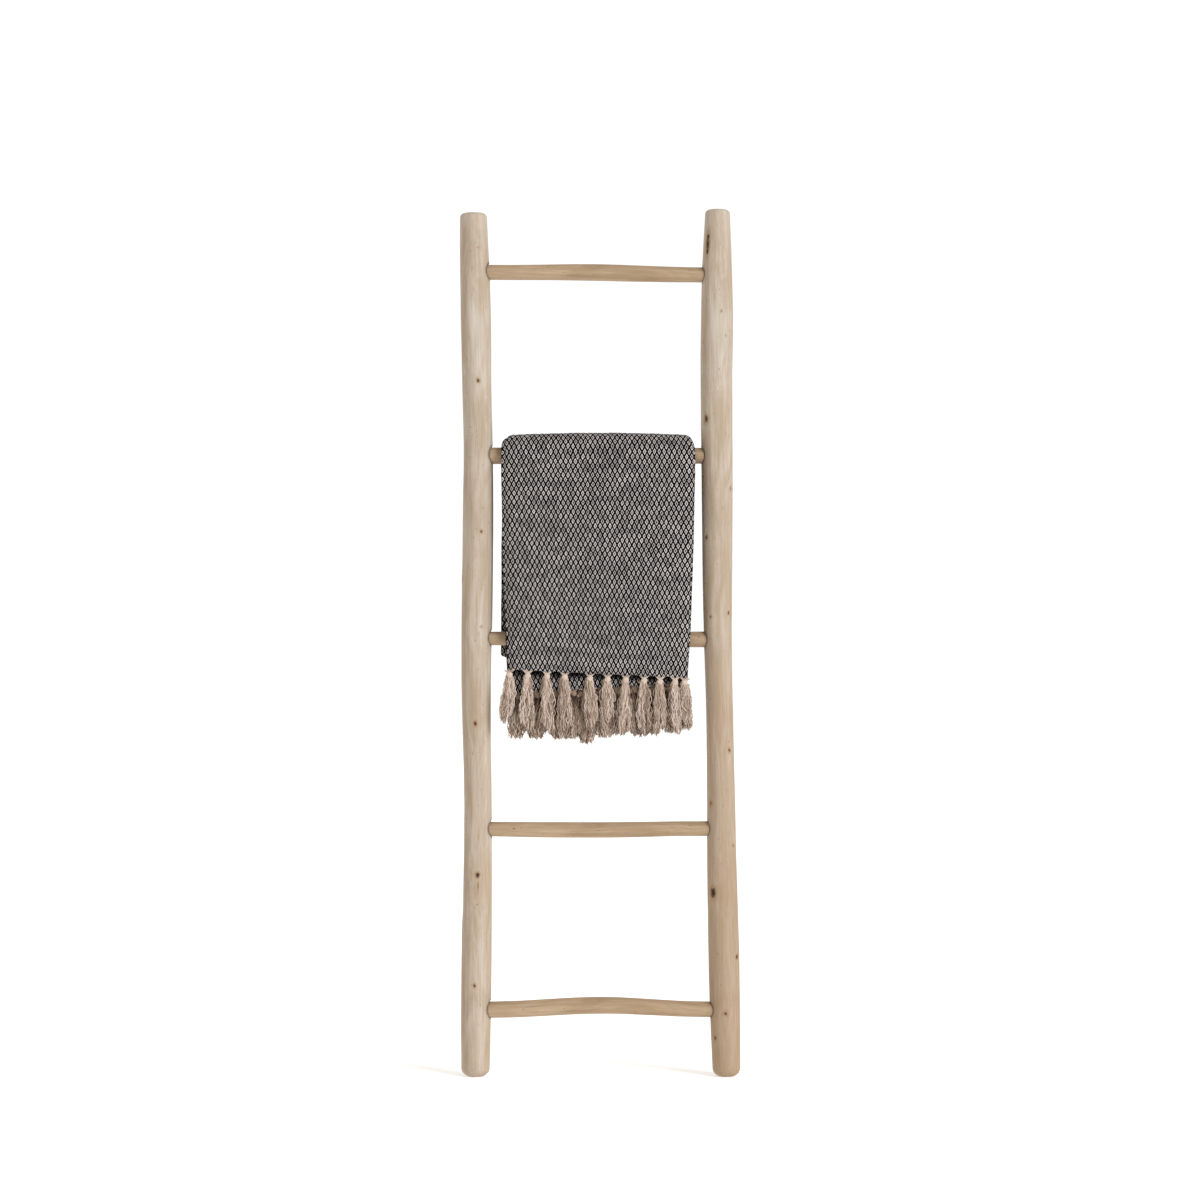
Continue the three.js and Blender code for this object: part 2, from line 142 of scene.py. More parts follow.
def tube_faces(rows, columns):
    """Quads between the rings of a closed tube, and the two end points' fans, as rows of corners."""
    row, column = np.meshgrid(np.arange(rows - 1), np.arange(columns), indexing="ij")
    beside = (column + 1) % columns
    quads = np.stack([row * columns + column, row * columns + beside,
                      (row + 1) * columns + beside, (row + 1) * columns + column], axis=-1)
    first, last, ring = rows * columns, rows * columns + 1, np.arange(columns)
    start = np.stack([np.full(columns, first), (ring + 1) % columns, ring], axis=-1)
    end = np.stack([np.full(columns, last), ring, (ring + 1) % columns], axis=-1)
    end[:, 1:] += (rows - 1) * columns
    return quads.reshape(-1, 4).tolist() + start.tolist() + end.tolist()


def tube(rings):
    """Points and faces of a closed tube through rings of points; each end closes on its ring's middle."""
    ends = rings[[0, -1]].mean(axis=1)
    return np.concatenate([rings.reshape(-1, 3), ends]), tube_faces(*rings.shape[:2])


def piece(name, points, faces, smooth=True):
    """A mesh object at the origin with those points and faces."""
    mesh = bpy.data.meshes.new(name)
    mesh.from_pydata(points.tolist(), [], faces)
    if smooth:
        mesh.shade_smooth()
    made = bpy.data.objects.new(name, mesh)
    bpy.context.scene.collection.objects.link(made)
    return made


def stamp(made, name, values):
    """Writes one number, or one vector, for each vertex as a named attribute."""
    flat = values.ndim == 1
    kind, field = ("FLOAT", "value") if flat else ("FLOAT_VECTOR", "vector")
    attribute = made.data.attributes.new(name, kind, "POINT")
    attribute.data.foreach_set(field, values.astype(np.float32).ravel())


def vertices(made):
    """The points of a mesh object, one row each."""
    flat = np.empty(len(made.data.vertices) * 3, np.float32)
    made.data.vertices.foreach_get("co", flat)
    return flat.reshape(-1, 3).astype(float)


def rounded(flat, full, rounding, steps):
    """A quarter-ellipse from a flat's radius to the full radius: radii, and depths inside the end."""
    angle = np.linspace(0, np.pi / 2, steps)
    return flat + (full - flat) * np.sin(angle), rounding * (1 - np.cos(angle))


def knot_offsets(knots, angle, height, radius):
    """For each knot, how far a point lies from it, sideways in half widths and upwards in half heights;
    then the knot's half width and how dark it is."""
    for z, turn, wide, tall, dark in knots:
        sideways = (angle - math.radians(turn) + np.pi) % (2 * np.pi) - np.pi
        yield sideways * radius / (wide * mm), (height - z * mm) / (tall * mm), wide * mm, dark


def pole_rings(course, top, knots, seed):
    """Rings of a branch: at each height a circle about the middle, whose radius has low lumps, long
    narrow flats and a swelling with a dimple at each knot, and small chips near both ends, which close
    in a quarter-ellipse and a flat."""
    heights, middles, radii = course
    foot_radii, foot_depths = rounded(foot_flat, radii[0], foot_rounding, 9)
    top_radii, top_depths = rounded(radii[-1] - top_inset, radii[-1], top_rounding, 9)
    body = np.linspace(foot_rounding, top - top_rounding, pole_rows)
    flats = np.array([0.3, 0.6, 0.85])
    z = np.concatenate([0 * flats, foot_depths[:-1], body, (top - top_depths)[-2::-1], 0 * flats + top])
    radius = np.concatenate([flats * foot_radii[0], foot_radii[:-1], cubic(body, heights, radii),
                             top_radii[-2::-1], flats[::-1] * top_radii[0]])
    angle = np.linspace(0, 2 * np.pi, pole_columns, endpoint=False)
    full = cubic(z, heights, radii)[:, None]
    unit = np.stack(np.broadcast_arrays(np.sin(angle), -np.cos(angle), 0), axis=-1)
    about = unit * full[..., None] + np.array([0, 0, 1]) * z[:, None, None]
    lumps = 0.8 * mm * wander(about, (34 * mm, 34 * mm, 130 * mm), seed)
    lumps += 0.35 * mm * wander(about, (15 * mm, 15 * mm, 190 * mm), seed + 1)
    lumps += 0.15 * mm * wander(about, (6 * mm, 6 * mm, 26 * mm), seed + 2)
    for sideways, upwards, _, dark in knot_offsets(knots, angle, z[:, None], full):
        near = sideways ** 2 + upwards ** 2
        lumps += dark * mm * (1.1 * np.exp(-near / 9) - 1.3 * np.exp(-near * 1.1))
    chips = 1.2 * mm * np.maximum(wander(about, (12 * mm, 12 * mm, 9 * mm), seed + 3) - 0.35, 0)
    lumps -= chips * np.exp(-np.minimum(z, top - z) / (9 * mm))[:, None]
    reach = (radius[:, None] + lumps * radius[:, None] / full)[..., None]
    rings = unit * reach + np.array([0, 0, 1]) * z[:, None, None]
    rings[..., 0] += cubic(z, heights, middles)[:, None]
    return rings


def cutter(profile, origin, direction, sides=48):
    """A turned tool: circles of the profile's radii at its distances along a direction."""
    radius, distance = np.array(profile).T
    angle = np.linspace(0, 2 * np.pi, sides, endpoint=False)
    along = np.array(direction, float)
    right = np.cross(along, (0, 0, 1) if abs(along[2]) < 0.5 else (1, 0, 0))
    circle = np.cos(angle)[:, None] * right + np.sin(angle)[:, None] * np.cross(along, right)
    rings = np.array(origin) + distance[:, None, None] * along + radius[:, None, None] * circle
    return tube(rings)


def carve(made, tools):
    """Cuts tools out of a mesh, one after the other, and keeps the result as its mesh."""
    carved = []
    for k, (points, faces) in enumerate(tools):
        tool = piece(f"tool_{k}", points, faces, smooth=False)
        cut = made.modifiers.new(f"cut_{k}", "BOOLEAN")
        cut.operation, cut.solver, cut.object = "DIFFERENCE", "MANIFOLD", tool
        carved.append(tool)
    result = bpy.data.meshes.new_from_object(made.evaluated_get(bpy.context.evaluated_depsgraph_get()))
    made.modifiers.clear()
    made.data = result
    for tool in carved:
        bpy.data.objects.remove(tool)


def linear(code):
    """An sRGB hex colour, such as 0xC8B79F, as linear RGBA."""
    levels = np.array([code >> 16, code >> 8 & 255, code & 255]) / 255
    return (*np.where(levels <= 0.04045, levels / 12.92, ((levels + 0.055) / 1.055) ** 2.4), 1.0)


def add(tree, kind, inputs=(), stops=(), **settings):
    """Adds a shader node, gives it its settings and the stops of a ramp, and sets or links its inputs."""
    made = tree.nodes.new("ShaderNode" + kind)
    for key, value in settings.items():
        setattr(made, key, value)
    for k, (place, colour) in enumerate(stops):
        stop = made.color_ramp.elements[k] if k < 2 else made.color_ramp.elements.new(place)
        stop.position, stop.color = place, colour
    for socket, value in dict(inputs).items():
        if isinstance(value, bpy.types.NodeSocket):
            tree.links.new(value, made.inputs[socket])
        else:
            made.inputs[socket].default_value = value
    return made


def teak(name, pale, warm, streak, end, roughness, tanned_by_light=0x9C7F60):
    """Peeled, sanded and unoiled teak: matt and pale. Long fibres about 1 mm wide, streaks about 7 mm wide
    and broad patches run along the limb; small pits are brown, knots have a nearly black heart in a brown
    ring, and sawn ends show growth rings."""
    material = bpy.data.materials.new(name)
    material.use_nodes = True
    tree = material.node_tree
    shader = tree.nodes["Principled BSDF"]
    grain = add(tree, "Attribute", attribute_name="grain").outputs["Vector"]
    knot = add(tree, "Attribute", attribute_name="knot").outputs["Fac"]
    seat_dirt_and_shade = add(tree, "Attribute", attribute_name="seat_dirt_and_shade").outputs["Fac"]
    sawn = add(tree, "Attribute", attribute_name="sawn").outputs["Fac"]
    tan = add(tree, "Attribute", attribute_name="tan").outputs["Fac"]
    patch_place = add(tree, "VectorMath", {0: grain, 1: (1, 1, 0.22)}, operation="MULTIPLY").outputs[0]
    patches = add(tree, "TexNoise", {"Vector": patch_place, "Scale": 1 / (30 * mm), "Detail": 5.0,
                                     "Roughness": 0.62, "Distortion": 0.8}).outputs[0]
    streak_place = add(tree, "VectorMath", {0: grain, 1: (1, 1, 0.045)}, operation="MULTIPLY").outputs[0]
    streaks = add(tree, "TexNoise", {"Vector": streak_place, "Scale": 1 / (7 * mm), "Detail": 3.0,
                                     "Roughness": 0.6, "Distortion": 0.4}).outputs[0]
    fibre_place = add(tree, "VectorMath", {0: grain, 1: (1, 1, 0.02)}, operation="MULTIPLY").outputs[0]
    fibres = add(tree, "TexNoise", {"Vector": fibre_place, "Scale": 1 / (1.3 * mm), "Detail": 3.0,
                                    "Roughness": 0.65}).outputs[0]
    broad = add(tree, "ValToRGB", {0: patches}, [(0.40, linear(warm)), (0.62, linear(pale))]).outputs[0]
    lines = add(tree, "ValToRGB", {0: streaks}, [(0.40, (1, 1, 1, 1)), (0.62, (0, 0, 0, 1))]).outputs[0]
    streak_share = add(tree, "Math", {0: lines, 1: 0.34}, operation="MULTIPLY").outputs[0]
    tone = add(tree, "Mix", {0: streak_share, 6: broad, 7: linear(streak)}, data_type="RGBA").outputs[2]
    tanned = add(tree, "Mix", {0: tan, 6: tone, 7: linear(tanned_by_light)}, data_type="RGBA").outputs[2]
    dark_fibres = add(tree, "MapRange", {0: fibres, 1: 0.30, 2: 0.70, 3: 0.84, 4: 1.07}).outputs[0]
    fibrous = add(tree, "VectorMath", {0: tanned, 3: dark_fibres}, operation="SCALE").outputs[0]
    rings = add(tree, "TexWave", {"Vector": grain, "Scale": 0.314 / (2.6 * mm), "Distortion": 3.0,
                                  "Detail": 2.0, "Detail Scale": 0.4},
                wave_type="RINGS", rings_direction="Z").outputs[1]
    end_tone = add(tree, "Mix", {0: rings, 6: linear(end), 7: linear(streak)}, data_type="RGBA").outputs[2]
    with_ends = add(tree, "Mix", {0: sawn, 6: fibrous, 7: end_tone}, data_type="RGBA").outputs[2]
    pit_place = add(tree, "VectorMath", {0: grain, 1: (1, 1, 0.3)}, operation="MULTIPLY").outputs[0]
    pits = add(tree, "TexNoise", {"Vector": pit_place, "Scale": 1 / (2.6 * mm), "Detail": 1.0}).outputs[0]
    pit_share = add(tree, "MapRange", {0: pits, 1: 0.72, 2: 0.80, 3: 0.0, 4: 0.7}).outputs[0]
    pit_tone = linear(0x6B4C30)
    pitted = add(tree, "Mix", {0: pit_share, 6: with_ends, 7: pit_tone}, data_type="RGBA").outputs[2]
    ragged = add(tree, "MapRange", {0: pits, 1: 0.0, 2: 1.0, 3: -0.11, 4: 0.11}).outputs[0]
    knot_edge = add(tree, "Math", {0: knot, 1: ragged}).outputs[0]
    knot_share = add(tree, "ValToRGB", {0: knot_edge}, [
        (0.0, (1, 1, 1, 1)), (0.22, (0.9,) * 3 + (1,)), (0.32, (0.45,) * 3 + (1,)),
        (0.52, (0, 0, 0, 1))]).outputs[0]
    knot_tone = add(tree, "ValToRGB", {0: knot_edge}, [
        (0.10, linear(0x1F120A)), (0.19, linear(0x5E3B20)), (0.30, linear(0x94704A))]).outputs[0]
    knotty = add(tree, "Mix", {0: knot_share, 6: pitted, 7: knot_tone}, data_type="RGBA").outputs[2]
    # Near-black brown round the seats and peg holes: dirt and glue, and painted shade in the gaps.
    seat_darkened = add(tree, "Mix", {0: seat_dirt_and_shade, 6: knotty, 7: linear(0x38251A)}, data_type="RGBA").outputs[2]
    relief = add(tree, "Math", {0: fibres, 1: streaks}, operation="ADD").outputs[0]
    bump = add(tree, "Bump", {"Height": relief, "Strength": 0.35, "Distance": 0.5 * mm}).outputs[0]
    rough = add(tree, "MapRange", {0: streaks, 1: 0.3, 2: 0.7, 3: roughness - 0.06, 4: roughness + 0.08})
    shader.inputs["IOR"].default_value = 1.45
    tree.links.new(seat_darkened, shader.inputs["Base Color"])
    tree.links.new(rough.outputs[0], shader.inputs["Roughness"])
    tree.links.new(bump, shader.inputs["Normal"])
    return material


def finish_limb(made, course, along, knots, seats, sawn_ends, tan, material):
    """Writes a limb's grain place, knots, sawn ends and the dark lines of its joints, which are dirt and
    glue and partly painted shade in the gaps, and gives it its wood. The wood is browner towards the start
    of the limb, by the share given as tan, down to none at 1.3 m. The grain place is the point seen from
    the pith; it is turned a little about each knot, so that the fibres run round the knot."""
    points = vertices(made)
    places, middles, _ = course
    across = 2 - along
    pith = cubic(points[:, along], places, middles)
    side, depth, run = points[:, across] - pith, points[:, 1], points[:, along]
    radius, angle = np.hypot(side, depth), np.arctan2(side, -depth)
    field, turn = np.full(len(points), 1.0), np.zeros(len(points))
    for sideways, upwards, wide, dark in knot_offsets(knots, angle, run, radius):
        field = np.minimum(field, np.hypot(sideways, upwards) / 4 + 0.32 * (1 - dark))
        turn += np.tanh(sideways) * np.exp(-np.abs(sideways) / 3 - (upwards / 1.8) ** 2) * wide / 0.02
    angle = angle - turn * 0.5
    stamp(made, "grain", np.stack([radius * np.sin(angle), radius * np.cos(angle), run], axis=-1))
    stamp(made, "knot", field)
    low, high = sawn_ends
    stamp(made, "sawn", np.clip(1 - np.minimum(run - low, high - run) / (1.5 * mm), 0, 1))
    # Dark lines round the seats and peg holes: dirt and glue, and partly painted shade where the gaps lie
    # in shadow.
    seat_dirt_and_shade = np.zeros(len(points))
    for centre, axis, seat_radius in seats:
        off_axis = np.linalg.norm(np.delete(points - centre, axis, axis=1), axis=1)
        off_edge = np.maximum(np.abs(off_axis - seat_radius) - 0.4 * mm, 0)
        near = np.abs(points - centre)[:, axis] < 30 * mm
        seat_dirt_and_shade = np.maximum(seat_dirt_and_shade, np.exp(-off_edge / (1.4 * mm)) * near)
    stamp(made, "seat_dirt_and_shade", seat_dirt_and_shade)
    stamp(made, "tan", tan * np.clip(1 - run / 1.3, 0, 1))
    made.data.materials.clear()
    made.data.materials.append(material)
    made.data.set_sharp_from_angle(angle=math.radians(38))


pole_wood = teak("sanded_teak_branch", pale=0xC3B7AA, warm=0xB09E8A, streak=0x9A8469, end=0xB59C7C,
                 roughness=0.72)
rungs = [f"rung_{k}" for k in range(1, 6)]
for name, knots, inward, tan, seed in (
        ("left_pole", left_knots, 1, 0.25, 11), ("right_pole", right_knots, -1, 0.75, 29)):
    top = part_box(name)[1].z
    course = limb_line(name, 2, pole_sides, foot_rounding, top - top_rounding)
    pole = piece(f"{name}_branch", *tube(pole_rings(course, top, knots, seed)))
    gouge = 1.7 * mm if inward > 0 else 0.4 * mm       # a seat is gouged this much too wide, upwards
    near_end = 0 if inward > 0 else -1
    tools, seats = [], []
    for rung in rungs:
        low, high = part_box(rung)
        tenon_end = low.x if inward > 0 else high.x
        face = tenon_end + inward * tenon_depth
        stick_line = limb_line(rung, 0, rung_sides, low.x + 30 * mm, high.x - 30 * mm)
        level, radius = stick_line[1:, near_end]
        seat, bore = radius + seat_clearance + gouge, tenon_radius + tenon_clearance
        tools.append(cutter([(bore, -tenon_depth - 1 * mm), (bore, 0)], (face, 0, level), (inward, 0, 0)))
        seat_profile = [(seat - seat_taper, -seat_depth), (seat, -seat_depth + 3 * mm), (seat, 30 * mm)]
        tools.append(cutter(seat_profile, (face, 0, level + gouge), (inward, 0, 0)))
        peg_x, peg_hole = tenon_end + inward * peg_from_tenon_end, peg_radius + peg_clearance
        tools.append(cutter([(peg_hole, 0), (peg_hole, 60 * mm)],
                            (peg_x, -tenon_radius - peg_beyond_tenon, level), (0, 1, 0), 24))
        seats += [(np.array([face, 0, level + gouge]), 0, seat),
                  (np.array([peg_x, 40 * mm, level]), 1, peg_radius)]
    carve(pole, tools)
    finish_limb(pole, course, 2, knots, seats, (0, top), tan, pole_wood)
    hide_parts(name)
    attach(pole, "ladder")

# ---------------------------------------------------------------- rungs
# Five thinner teak sticks, turned at their ends to a tenon that is glued into the pole. Each keeps a
# slight bow, and its rounded shoulder disappears into the seat. They are warmer and a little darker than
# the poles.

rung_wood = teak("sanded_teak_stick", pale=0xB89F83, warm=0xA2886A, streak=0x8B7055, end=0xA68A6B,
                 roughness=0.66)
rung_rows, rung_columns = 260, 72
rung_knots = {
    "rung_1": [(60, -30, 1.4, 5, 0.35), (-120, 100, 1.5, 4, 0.6)],
    "rung_2": [(-149, 10, 1.5, 2.0, 0.8), (-136, 16, 1.3, 1.8, 0.7), (-1, 0, 0.5, 26, 0.5),
               (90, 170, 2, 4, 0.7)],
    "rung_3": [(170, 20, 1.4, 2.4, 0.6)],
    "rung_4": [(-178, 25, 1.4, 2.0, 0.5)],
    "rung_5": [(40, -20, 1.0, 6, 0.25), (-60, 160, 1.6, 4, 0.6)],
}


def rung_rings(course, low, high, seed):
    """Rings of a stick: a tenon, a quarter-ellipse shoulder, a bowed body with low lumps, and the same
    shoulder and tenon mirrored."""
    places, levels, radii = course
    start, stop = places[[0, -1]]
    left_radii, left_depths = rounded(tenon_radius, radii[0], shoulder, 8)
    right_radii, right_depths = rounded(tenon_radius, radii[-1], shoulder, 8)
    body = np.linspace(start, stop, rung_rows)
    tenon, chamfer = np.array([1.0, 0.88]) * tenon_radius, 1.2 * mm
    x = np.concatenate([[low, low + chamfer], start - shoulder + left_depths[:-1], body,
                        (stop + shoulder - right_depths)[-2::-1], [high - chamfer, high]])
    radius = np.concatenate([tenon[::-1], left_radii[:-1], cubic(body, places, radii),
                             right_radii[-2::-1], tenon])
    angle = np.linspace(0, 2 * np.pi, rung_columns, endpoint=False)
    unit = np.stack(np.broadcast_arrays(0, np.cos(angle), np.sin(angle)), axis=-1)
    lengthwise = np.array([1, 0, 0]) * x[:, None, None]
    about = unit * radius[:, None, None] + lengthwise
    lumps = 0.45 * mm * wander(about, (110 * mm, 16 * mm, 16 * mm), seed)
    lumps += 0.16 * mm * wander(about, (40 * mm, 6 * mm, 6 * mm), seed + 1)
    inside = (x > start - shoulder / 2) & (x < stop + shoulder / 2)
    rings = unit * (radius[:, None] + lumps * inside[:, None])[..., None] + lengthwise
    rings[..., 2] += cubic(x, places, levels)[:, None]
    return rings


for k, name in enumerate(rungs):
    low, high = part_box(name)
    inset = tenon_depth - seat_depth + shoulder + tenon_clearance
    course = limb_line(name, 0, rung_sides, low.x + inset, high.x - inset)
    stick = piece(f"{name}_stick", *tube(rung_rings(course, low.x, high.x, 50 + 7 * k)))
    finish_limb(stick, course, 0, rung_knots[name], [], (low.x, high.x), 0, rung_wood)
    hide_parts(name)
    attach(stick, "ladder")

# ---------------------------------------------------------------- pegs
# Ten dowels of 6 mm, driven from the back through each tenon, and cut off a little inside the pole's
# back. They are split from a darker offcut, so their rounded heads show end grain.

peg_wood = teak("teak_dowel", pale=0xA88660, warm=0x94724E, streak=0x7D5E3F, end=0x9C7B58, roughness=0.7)
for rung in rungs:
    for side in ("left", "right"):
        name = f"{rung}_peg_{side}"
        low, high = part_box(name)
        centre = (low + high) / 2
        head_radii, head_depths = rounded(1.6 * mm, peg_radius, 0.8 * mm, 6)
        length = high.y - low.y
        profile = [*zip(head_radii, head_depths), *zip(head_radii[::-1], length - head_depths[::-1])]
        dowel = piece(f"{name}_dowel", *cutter(profile, (centre.x, low.y, centre.z), (0, 1, 0), 32))
        points = vertices(dowel)
        stamp(dowel, "grain", (points - np.array([centre.x, 0, centre.z]))[:, [0, 2, 1]])
        stamp(dowel, "knot", np.ones(len(points)))
        stamp(dowel, "seat_dirt_and_shade", np.zeros(len(points)))
        stamp(dowel, "tan", np.zeros(len(points)))
        stamp(dowel, "sawn", (np.abs(points[:, 1] - centre.y) > length / 2 - 1 * mm).astype(float))
        dowel.data.materials.append(peg_wood)
        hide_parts(name)
        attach(dowel, "ladder")

# ---------------------------------------------------------------- throw
# One cotton cloth of 1.30 by 1.70 m, woven in small diamonds of near-black and undyed yarn. It is folded
# in four across its width, then once along its length, and hung over rung 4 with both hems in front.

throw_low, throw_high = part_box("throw")
layer = 3.1 * mm                              # one layer in the stack
layers = 8
outside = -throw_low.y
inside = outside - layers * layer
axis_z = sum(corner.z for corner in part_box("rung_4")) / 2
throw_points = np.array([v.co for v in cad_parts["throw"].data.vertices])
back_fold_z = throw_points[throw_points[:, 1] > inside, 2].min() + layers / 2 * layer
hem_gap = 0.6 * mm                            # from a hem to the knots under it
hem_inset_left, hem_inset_right = 12 * mm, 13 * mm
back_flare, back_inset = 2 * mm, 12 * mm      # the back widens on the left and narrows on the right
left, right = throw_low.x + back_flare + 1.5 * layer, throw_high.x - 1.5 * mm
cloth_thickness = 1.7 * mm
corner_width = 16 * mm                        # the stack is round this far in from its side folds
inner_rows = 48                               # rows of the mesh in the inner drop
front_tassels = [f"front_tassel_{k}" for k in range(1, 12)]
back_tassels = [f"back_tassel_{k}" for k in range(1, 12)]


def hem_line(tassels, scallop):
    """A hem, as a function of x: the height of a straight line through the tops of its knots, and how far
    the hem is drawn up in an arch above it between two knots."""
    knot_x = np.array([sum(corner.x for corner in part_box(name)) / 2 for name in tassels])
    knot_top = np.array([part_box(name)[1].z for name in tassels]) + hem_gap
    slope, level = np.polyfit(knot_x, knot_top, 1)
    count = np.arange(len(tassels))

    def height(x):
        """Height of the straight line at x, and of the arch above it."""
        arch = np.abs(np.sin(np.pi * np.interp(x, knot_x, count)))
        return level + slope * x, scallop * arch ** 0.75
    return height


outer_hem = hem_line(front_tassels, 3.4 * mm)
inner_hem = hem_line(back_tassels, 2.6 * mm)


def across_columns():
    """The way across the cloth, as columns: place across the folded width, layer number and sideways
    bulge. It starts at the free edge of the first panel, on the right. Each fold is a half turn between
    two layers, and the last one wraps round the others, so the fourth panel lies outermost."""
    blocks = []
    for start, stop, number, count, next_layer in (
            (1, 0, 1, 20, 2), (0, 1, 2, 20, 3), (1, 0, 3, 60, 0), (0, 1, 0, 92, None)):
        place = np.linspace(start, stop, count)
        blocks.append(np.stack([place, 0 * place + number, 0 * place]))
        if next_layer is not None:
            turn = np.linspace(0, np.pi, 10)[1:-1]
            reach = abs(next_layer - number) / 2
            middle = (next_layer + number) / 2
            bulge = reach * np.sin(turn) * (1 if stop else -1)
            blocks.append(np.stack([0 * turn + stop, middle + (number - middle) * np.cos(turn), bulge]))
    return np.concatenate(blocks, axis=1)


def thinness(place):
    """Depth of the stack at a place across its width, as a share of 8 full layers: thinner towards the
    side folds, and round at the corners."""
    edge = np.minimum(place, 1 - place) * (throw_high.x - throw_low.x)
    corner = 1 - np.clip(edge / corner_width, 0, 1)
    return (1 - 0.17 * (2 * place - 1) ** 2) * (0.72 + 0.28 * np.sqrt(1 - corner ** 2))


def folded_cloth():
    """The whole cloth as rows along its length by columns across its width. Each column runs up the front
    at its layer's distance from the rung, half round the rung, down the back, round the fold at the
    bottom, up again inside, over the rung and down to the other hem."""
    place, number, bulge = across_columns()
    outer = inside + (layers - 0.5 - number) * layer * thinness(place)
    inner = inside + (number + 0.5) * layer * thinness(place)
    bulge = bulge * layer * 0.9

    def drop(shares, distance, hem):
        """Front drop from the rung's level (share 0) to a hem (share 1), narrower towards the hem."""
        share = shares[:, None]
        x = left + hem_inset_left * share ** 2
        x = x + (right - left - (hem_inset_left + hem_inset_right) * share ** 2) * place + bulge
        line, arch = hem(x)
        z = axis_z + (line - axis_z) * share
        z = z + arch * np.exp(-(z - line) / (7 * mm))
        return np.stack([x, 0 * x - distance, z], axis=-1)

    def bend(angles, distance):
        """Over the rung, from the front (angle pi) to the back (angle 0); the side folds draw in on top."""
        turn = angles[:, None]
        draw = 4 * mm * np.sin(turn) ** 4 * np.abs(2 * place - 1) ** 3 * np.sign(2 * place - 1)
        x = left + (right - left) * place + bulge - draw
        return np.stack([x, distance * np.cos(turn), axis_z + distance * np.sin(turn)], axis=-1)

    def back(shares, distance):
        """Back drop from the rung's level (share 0) to the fold at the bottom (share 1)."""
        share = shares[:, None]
        x = left - back_flare * share + (right - left + (back_flare - back_inset) * share) * place + bulge
        return np.stack([x, 0 * x + distance, axis_z + (back_fold_z - axis_z) * share + 0 * x], axis=-1)

    def bottom(angles):
        """Round the crosswise fold at the bottom of the back."""
        turn = angles[:, None]
        x = left - back_flare + (right - left + back_flare - back_inset) * place + bulge
        middle, reach = (outer + inner) / 2, (outer - inner) / 2
        y, z = middle + reach * np.cos(turn), back_fold_z - reach * np.sin(turn)
        return np.stack([x + 0 * turn, y, z], axis=-1)

    fall = 1 - np.linspace(0, 1, 74) ** 1.15
    inner_fall = np.linspace(0, 1, inner_rows) ** (1 / 1.35)
    shares, inner_shares = np.linspace(0, 1, 36), np.linspace(1, 0, 14)
    over, inner_over = np.linspace(np.pi, 0, 20)[1:-1], np.linspace(0, np.pi, 14)[1:-1]
    rows = [drop(fall, outer, outer_hem), bend(over, outer), back(shares, outer),
            bottom(np.linspace(0, np.pi, 10)[1:-1]), back(inner_shares, inner), bend(inner_over, inner),
            drop(inner_fall, inner, inner_hem)]
    return np.concatenate(rows), number


def soften(grid, number):
    """Waves of the hanging cloth: every layer moves together, more towards the hems; each layer adds a
    little of its own, the side folds wander by about a millimetre, and the whole surface is finely
    uneven, forwards or backwards on the drops and upwards over the rung."""
    x, y, z = np.moveaxis(grid, -1, 0)
    low = np.clip((axis_z - z) / 0.38, 0, 1)
    side = np.where(y < 0, -1, 1)
    spot = np.stack([x, 0.3 * side, z], axis=-1)
    wave = 2.0 * mm * low * wander(spot, (85 * mm, 1, 150 * mm), 3)
    wave += 0.9 * mm * (0.3 + low) * wander(spot, (38 * mm, 1, 60 * mm), 4)
    layer_spot = np.stack([x, 0.37 * number + 0 * x + 3.3 * side, z], axis=-1)
    own = 0.25 * mm * wander(layer_spot, (30 * mm, 1, 45 * mm), 5)
    grid[..., 1] += side * (wave + own)
    middle = (throw_low.x + throw_high.x) / 2
    outward = np.abs(x - middle) / (throw_high.x - middle)
    edge_place = np.stack([0.4 * np.sign(x - middle), 2.3 * number + 0 * x, z + 0.5 * y], axis=-1)
    edge = 1.1 * mm * wander(edge_place, (1, 1, 70 * mm), 6)
    edge += 0.5 * mm * wander(edge_place, (1, 1, 6 * mm), 7)
    grid[..., 0] += edge * outward ** 6
    rough = 0.6 * mm * wander(np.stack([x, y, z], axis=-1), (4.2 * mm, 4.2 * mm, 4.2 * mm), 8)
    above = np.clip((z - axis_z) / (30 * mm), 0, 1)
    grid[..., 1] += side * rough * (1 - above)
    grid[..., 2] += rough * above
    return grid


def along(grid, axis):
    """Distance along the cloth at each row or column of its middle line, starting at 0."""
    steps = np.linalg.norm(np.diff(grid, axis=axis), axis=-1)
    steps = steps.mean(axis=1 - axis)
    return np.concatenate([[0], np.cumsum(steps)])


def sheet_faces(rows, columns):
    """Quads between neighbouring points of an open grid, as rows of corners."""
    row, column = np.meshgrid(np.arange(rows - 1), np.arange(columns - 1), indexing="ij")
    first = row * columns + column
    quads = np.stack([first, first + columns, first + columns + 1, first + 1], axis=-1)
    return quads.reshape(-1, 4).tolist()


def map_cloth(made, name, places):
    """Writes a place on the cloth, in metres, for each vertex as a UV map."""
    corners = np.empty(len(made.data.loops), np.int32)
    made.data.loops.foreach_get("vertex_index", corners)
    layer_map = made.data.uv_layers.new(name=name)
    layer_map.data.foreach_set("uv", places[corners].astype(np.float32).ravel())


